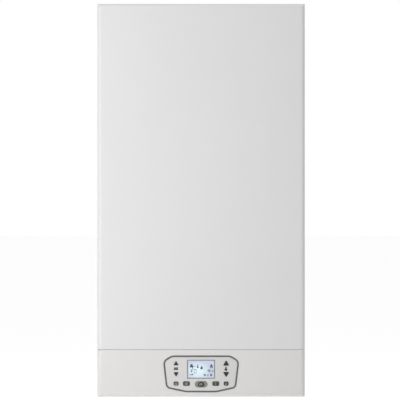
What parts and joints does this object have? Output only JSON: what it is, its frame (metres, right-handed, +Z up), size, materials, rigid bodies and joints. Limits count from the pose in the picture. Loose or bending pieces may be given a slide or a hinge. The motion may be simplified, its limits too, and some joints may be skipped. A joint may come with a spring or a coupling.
{
  "type": "wall-hung combi boiler",
  "caption": "Tall white wall-hung combi boiler: lift-off front cover, tilting control panel with display and keys, concentric flue collar, pipe tails beneath.",
  "frame": {"origin": "on the wall, midway between the two fixing holes of the wall bracket", "axes": "+Z up, +Y into the wall, so the front faces -Y, and +X to the right seen from the front"},
  "size_m": [0.44, 0.351, 0.836],
  "materials": {
    "case_white": "semi-gloss white powder coat",
    "fascia_white": "satin white moulding",
    "trim_dark": "satin dark grey moulding",
    "unit_grey": "fine matt light grey film",
    "key_dark": "matt dark grey silicone",
    "lcd_glass": "clear window over a lit pale blue display",
    "galvanised": "galvanised sheet",
    "bright_steel": "plated steel",
    "stainless": "brazed stainless plates",
    "cast_alloy": "rough cast aluminium",
    "fin_alloy": "machined aluminium",
    "burner_metal": "heat-tinted metal fibre",
    "ceramic_white": "ceramic",
    "duct_black": "black glass-filled nylon",
    "block_grey": "dark grey glass-filled composite",
    "copper_pipe": "copper tube",
    "brass_union": "machined brass",
    "vessel_paint": "red gloss paint on steel",
    "board_green": "solder mask and black parts",
    "box_grey": "grey flame-retardant moulding",
    "knob_red": "red moulding",
    "knob_blue": "blue moulding",
    "flue_white": "white painted aluminium",
    "siphon_grey": "grey polypropylene"
  },
  "bodies": {
    "boiler_body": {"back_panel": "galvanised", "wall_bracket": "galvanised", "left_side_panel": "case_white", "right_side_panel": "case_white", "top_panel": "case_white", "cover_clips": "bright_steel", "hinge_pins": "bright_steel", "flue_collar": "flue_white", "flue_pipe": "fin_alloy", "expansion_vessel": "vessel_paint", "exchanger_frame": "galvanised", "heat_exchanger": "cast_alloy", "burner_door": "cast_alloy", "burner": "burner_metal", "electrodes": "ceramic_white", "fan_housing": "fin_alloy", "fan_motor": "duct_black", "premix_duct": "duct_black", "venturi": "fin_alloy", "gas_valve": "fin_alloy", "flow_manifold": "block_grey", "return_manifold": "block_grey", "plate_heat_exchanger": "stainless", "pump_housing": "block_grey", "pump_motor": "cast_alloy", "air_vent": "duct_black", "diverter_actuator": "duct_black", "relief_valve": "brass_union", "filling_valve": "brass_union", "connection_tails": "brass_union", "bottom_bracket": "galvanised", "flow_pipe": "copper_pipe", "return_pipe": "copper_pipe", "gas_pipe": "copper_pipe", "vessel_pipe": "copper_pipe", "condensate_siphon": "siphon_grey", "condensate_hose": "siphon_grey"},
    "cover": {"front_cover": "case_white", "cover_studs": "bright_steel"},
    "control_panel": {"control_fascia": "fascia_white", "control_unit_trim": "trim_dark", "control_unit_plate": "unit_grey", "lcd_window": "lcd_glass", "display_board": "board_green", "control_box": "box_grey", "control_box_lid": "box_grey", "main_board": "board_green"},
    "heating_up_key_body": {"heating_up_key": "key_dark"},
    "heating_down_key_body": {"heating_down_key": "key_dark"},
    "water_up_key_body": {"water_up_key": "key_dark"},
    "water_down_key_body": {"water_down_key": "key_dark"},
    "power_key_body": {"power_key": "key_dark"},
    "menu_key_body": {"menu_key": "key_dark"},
    "select_key_body": {"select_key": "key_dark"},
    "info_key_body": {"info_key": "key_dark"},
    "reset_key_body": {"reset_key": "key_dark"},
    "fan_impeller_body": {"fan_impeller": "fin_alloy"},
    "relief_knob_body": {"relief_knob": "knob_red"},
    "filling_knob_body": {"filling_knob": "knob_blue"}
  },
  "joints": [
    {"name": "front_cover_pull", "type": "slide", "parent": "boiler_body", "child": "cover", "axis": [0, -1, 0], "range_m": [0, 0.45]},
    {"name": "control_panel_tilt", "type": "hinge", "parent": "boiler_body", "child": "control_panel", "pos_m": [0, -0.3, -0.782], "axis": [1, 0, 0], "range_deg": [0, 90]},
    {"name": "fan_spin", "type": "hinge", "parent": "boiler_body", "child": "fan_impeller_body", "pos_m": [-0.07, -0.2532, -0.405], "axis": [0, 1, 0], "continuous": true},
    {"name": "relief_knob_turn", "type": "hinge", "parent": "boiler_body", "child": "relief_knob_body", "pos_m": [0.165, -0.135, -0.7], "axis": [0, 1, 0], "range_deg": [0, 90]},
    {"name": "filling_knob_turn", "type": "hinge", "parent": "boiler_body", "child": "filling_knob_body", "pos_m": [0.0965, -0.121, -0.748], "axis": [0, 1, 0], "range_deg": [0, 270]},
    {"name": "heating_up_key_press", "type": "slide", "parent": "control_panel", "child": "heating_up_key_body", "axis": [0, 1, 0], "range_m": [0, 0.0008], "stiffness_N_per_m": 1200, "springref_m": -0.0005},
    {"name": "heating_down_key_press", "type": "slide", "parent": "control_panel", "child": "heating_down_key_body", "axis": [0, 1, 0], "range_m": [0, 0.0008], "stiffness_N_per_m": 1200, "springref_m": -0.0005},
    {"name": "water_up_key_press", "type": "slide", "parent": "control_panel", "child": "water_up_key_body", "axis": [0, 1, 0], "range_m": [0, 0.0008], "stiffness_N_per_m": 1200, "springref_m": -0.0005},
    {"name": "water_down_key_press", "type": "slide", "parent": "control_panel", "child": "water_down_key_body", "axis": [0, 1, 0], "range_m": [0, 0.0008], "stiffness_N_per_m": 1200, "springref_m": -0.0005},
    {"name": "power_key_press", "type": "slide", "parent": "control_panel", "child": "power_key_body", "axis": [0, 1, 0], "range_m": [0, 0.0008], "stiffness_N_per_m": 1200, "springref_m": -0.0005},
    {"name": "menu_key_press", "type": "slide", "parent": "control_panel", "child": "menu_key_body", "axis": [0, 1, 0], "range_m": [0, 0.0008], "stiffness_N_per_m": 1200, "springref_m": -0.0005},
    {"name": "select_key_press", "type": "slide", "parent": "control_panel", "child": "select_key_body", "axis": [0, 1, 0], "range_m": [0, 0.0008], "stiffness_N_per_m": 1200, "springref_m": -0.0005},
    {"name": "info_key_press", "type": "slide", "parent": "control_panel", "child": "info_key_body", "axis": [0, 1, 0], "range_m": [0, 0.0008], "stiffness_N_per_m": 1200, "springref_m": -0.0005},
    {"name": "reset_key_press", "type": "slide", "parent": "control_panel", "child": "reset_key_body", "axis": [0, 1, 0], "range_m": [0, 0.0008], "stiffness_N_per_m": 1200, "springref_m": -0.0005}
  ]
}
